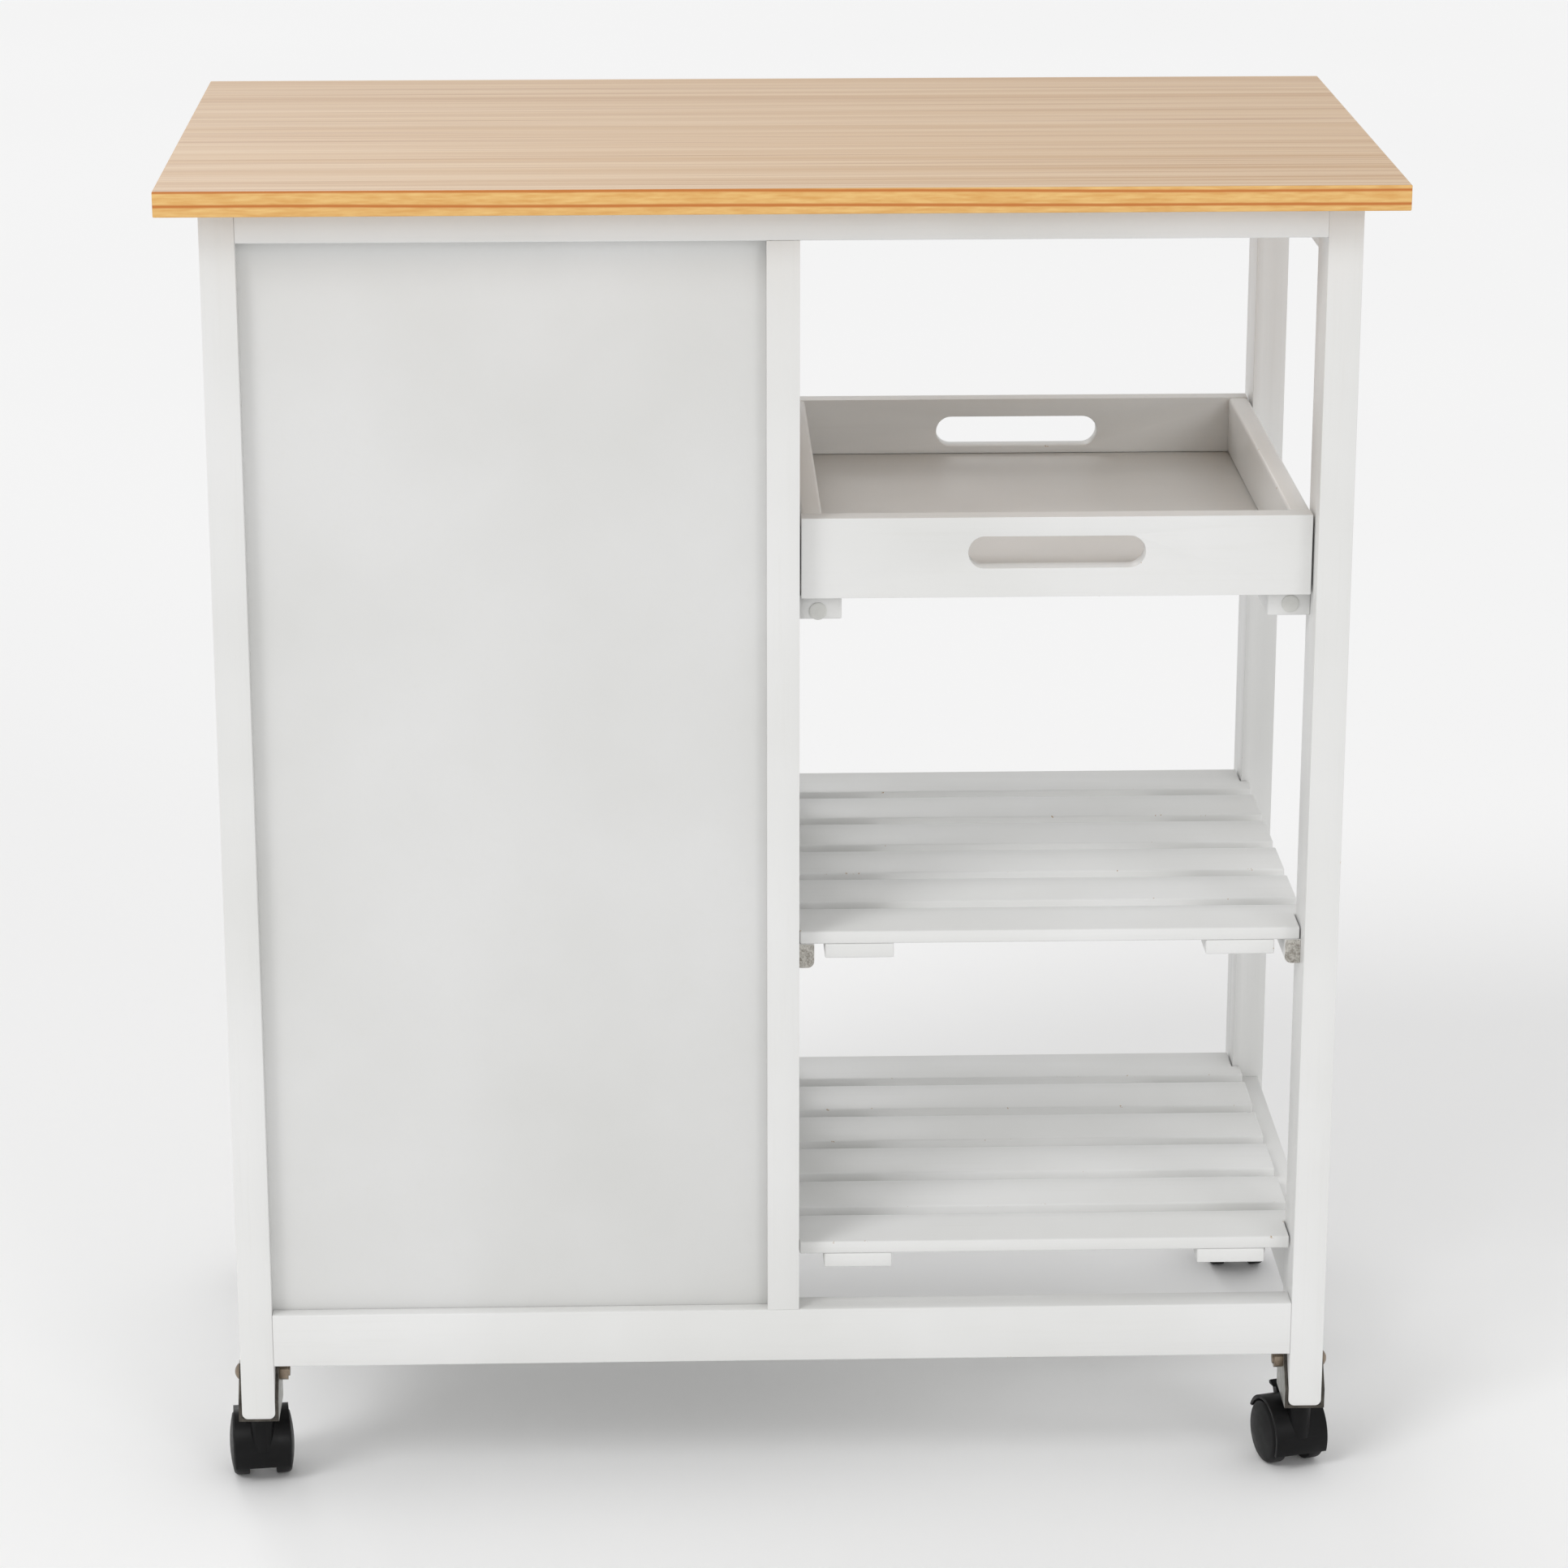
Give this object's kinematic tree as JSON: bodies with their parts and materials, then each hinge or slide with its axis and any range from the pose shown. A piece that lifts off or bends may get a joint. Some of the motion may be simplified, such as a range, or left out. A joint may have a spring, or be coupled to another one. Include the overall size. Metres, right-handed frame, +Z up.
{
  "type": "rolling kitchen cart",
  "caption": "Painted wooden kitchen cart with a pine worktop, slatted shelves, a lift-out tray, a drawer and a cupboard, on braked twin-wheel casters.",
  "frame": {"origin": "on the floor under the centre of the worktop", "axes": "+Z up, X along the worktop's length, drawer and door face -Y, closed back panel faces +Y"},
  "size_m": [0.67, 0.37, 0.769],
  "materials": {
    "worktop_pine": "pine board, sanded and thinly oiled, honey-coloured edge",
    "painted_wood": "sprayed white paint, satin",
    "bare_wood": "planed pine, unpainted",
    "knob_metal": "brushed, satin",
    "hinge_steel": "zinc plated",
    "bracket_steel": "zinc plated sheet, folded",
    "caster_plastic": "moulded, satin black",
    "axle_steel": "plain ground bar",
    "wheel_tread": "moulded, satin black"
  },
  "bodies": {
    "cart": {"worktop": "worktop_pine", "leg_front_left": "painted_wood", "leg_front_right": "painted_wood", "leg_rear_left": "painted_wood", "leg_rear_right": "painted_wood", "centre_post_front": "painted_wood", "top_rail_front": "painted_wood", "bottom_rail_front": "painted_wood", "centre_post_rear": "painted_wood", "top_rail_rear": "painted_wood", "bottom_rail_rear": "painted_wood", "side_aprons": "painted_wood", "side_rails": "painted_wood", "drawer_rail": "painted_wood", "divider_panel": "painted_wood", "back_panel": "painted_wood", "side_panel": "painted_wood", "cupboard_floor": "painted_wood", "tray_runners": "painted_wood", "middle_shelf_slats": "painted_wood", "middle_shelf_battens": "painted_wood", "bottom_shelf_slats": "painted_wood", "bottom_shelf_battens": "painted_wood", "middle_shelf_cleats": "painted_wood", "drawer_runners": "bare_wood", "frame_hinge_leaves": "hinge_steel", "caster_brackets": "bracket_steel", "caster_bolts": "bracket_steel"},
    "tray": {"tray_end_front": "painted_wood", "tray_end_rear": "painted_wood", "tray_sides": "painted_wood", "tray_floor": "painted_wood"},
    "drawer": {"drawer_front": "painted_wood", "drawer_sides": "bare_wood", "drawer_back": "bare_wood", "drawer_floor": "bare_wood", "drawer_knob": "knob_metal"},
    "door": {"door_stiles": "painted_wood", "door_rails": "painted_wood", "door_panel": "painted_wood", "door_knob": "knob_metal", "door_hinge_leaves": "hinge_steel"},
    "swivel_front_left": {"caster_front_left_hood": "caster_plastic", "caster_front_left_axle": "axle_steel"},
    "wheel_front_left_left": {"caster_front_left_wheel_left": "wheel_tread"},
    "wheel_front_left_right": {"caster_front_left_wheel_right": "wheel_tread"},
    "swivel_front_right": {"caster_front_right_hood": "caster_plastic", "caster_front_right_axle": "axle_steel"},
    "wheel_front_right_left": {"caster_front_right_wheel_left": "wheel_tread"},
    "wheel_front_right_right": {"caster_front_right_wheel_right": "wheel_tread"},
    "swivel_rear_left": {"caster_rear_left_hood": "caster_plastic", "caster_rear_left_axle": "axle_steel"},
    "wheel_rear_left_left": {"caster_rear_left_wheel_left": "wheel_tread"},
    "wheel_rear_left_right": {"caster_rear_left_wheel_right": "wheel_tread"},
    "brake_rear_left": {"caster_rear_left_lever": "caster_plastic"},
    "swivel_rear_right": {"caster_rear_right_hood": "caster_plastic", "caster_rear_right_axle": "axle_steel"},
    "wheel_rear_right_left": {"caster_rear_right_wheel_left": "wheel_tread"},
    "wheel_rear_right_right": {"caster_rear_right_wheel_right": "wheel_tread"},
    "brake_rear_right": {"caster_rear_right_lever": "caster_plastic"}
  },
  "joints": [
    {"name": "tray_slide", "type": "slide", "parent": "cart", "child": "tray", "axis": [0, 1, 0], "range_m": [-0.15, 0.15]},
    {"name": "drawer_slide", "type": "slide", "parent": "cart", "child": "drawer", "axis": [0, -1, 0], "range_m": [0, 0.2]},
    {"name": "door_hinge", "type": "hinge", "parent": "cart", "child": "door", "pos_m": [0.293, -0.1678, 0.3655], "axis": [0, 0, 1], "range_deg": [0, 110]},
    {"name": "swivel_front_left_turn", "type": "hinge", "parent": "cart", "child": "swivel_front_left", "pos_m": [-0.3035, -0.146, 0.035], "axis": [0, 0, 1], "continuous": true},
    {"name": "wheel_front_left_left_spin", "type": "hinge", "parent": "swivel_front_left", "child": "wheel_front_left_left", "pos_m": [-0.317, -0.162, 0.019], "axis": [1, 0, 0], "continuous": true},
    {"name": "wheel_front_left_right_spin", "type": "hinge", "parent": "swivel_front_left", "child": "wheel_front_left_right", "pos_m": [-0.29, -0.162, 0.019], "axis": [1, 0, 0], "continuous": true},
    {"name": "swivel_front_right_turn", "type": "hinge", "parent": "cart", "child": "swivel_front_right", "pos_m": [0.3035, -0.146, 0.035], "axis": [0, 0, 1], "continuous": true},
    {"name": "wheel_front_right_left_spin", "type": "hinge", "parent": "swivel_front_right", "child": "wheel_front_right_left", "pos_m": [0.29, -0.162, 0.019], "axis": [1, 0, 0], "continuous": true},
    {"name": "wheel_front_right_right_spin", "type": "hinge", "parent": "swivel_front_right", "child": "wheel_front_right_right", "pos_m": [0.317, -0.162, 0.019], "axis": [1, 0, 0], "continuous": true},
    {"name": "swivel_rear_left_turn", "type": "hinge", "parent": "cart", "child": "swivel_rear_left", "pos_m": [-0.3035, 0.146, 0.035], "axis": [0, 0, 1], "continuous": true},
    {"name": "wheel_rear_left_left_spin", "type": "hinge", "parent": "swivel_rear_left", "child": "wheel_rear_left_left", "pos_m": [-0.31207, 0.1269, 0.019], "axis": [0.9613, 0.2756, 0], "continuous": true},
    {"name": "wheel_rear_left_right_spin", "type": "hinge", "parent": "swivel_rear_left", "child": "wheel_rear_left_right", "pos_m": [-0.28611, 0.13434, 0.019], "axis": [0.9613, 0.2756, 0], "continuous": true},
    {"name": "brake_rear_left_press", "type": "hinge", "parent": "swivel_rear_left", "child": "brake_rear_left", "pos_m": [-0.29661, 0.12197, 0.0315], "axis": [0.9613, 0.2756, 0], "range_deg": [0, 20]},
    {"name": "swivel_rear_right_turn", "type": "hinge", "parent": "cart", "child": "swivel_rear_right", "pos_m": [0.3035, 0.146, 0.035], "axis": [0, 0, 1], "continuous": true},
    {"name": "wheel_rear_right_left_spin", "type": "hinge", "parent": "swivel_rear_right", "child": "wheel_rear_right_left", "pos_m": [0.29175, 0.12868, 0.019], "axis": [0.9945, 0.1045, 0], "continuous": true},
    {"name": "wheel_rear_right_right_spin", "type": "hinge", "parent": "swivel_rear_right", "child": "wheel_rear_right_right", "pos_m": [0.3186, 0.1315, 0.019], "axis": [0.9945, 0.1045, 0], "continuous": true},
    {"name": "brake_rear_right_press", "type": "hinge", "parent": "swivel_rear_right", "child": "brake_rear_right", "pos_m": [0.30611, 0.12114, 0.0315], "axis": [0.9945, 0.1045, 0], "range_deg": [0, 20]}
  ]
}
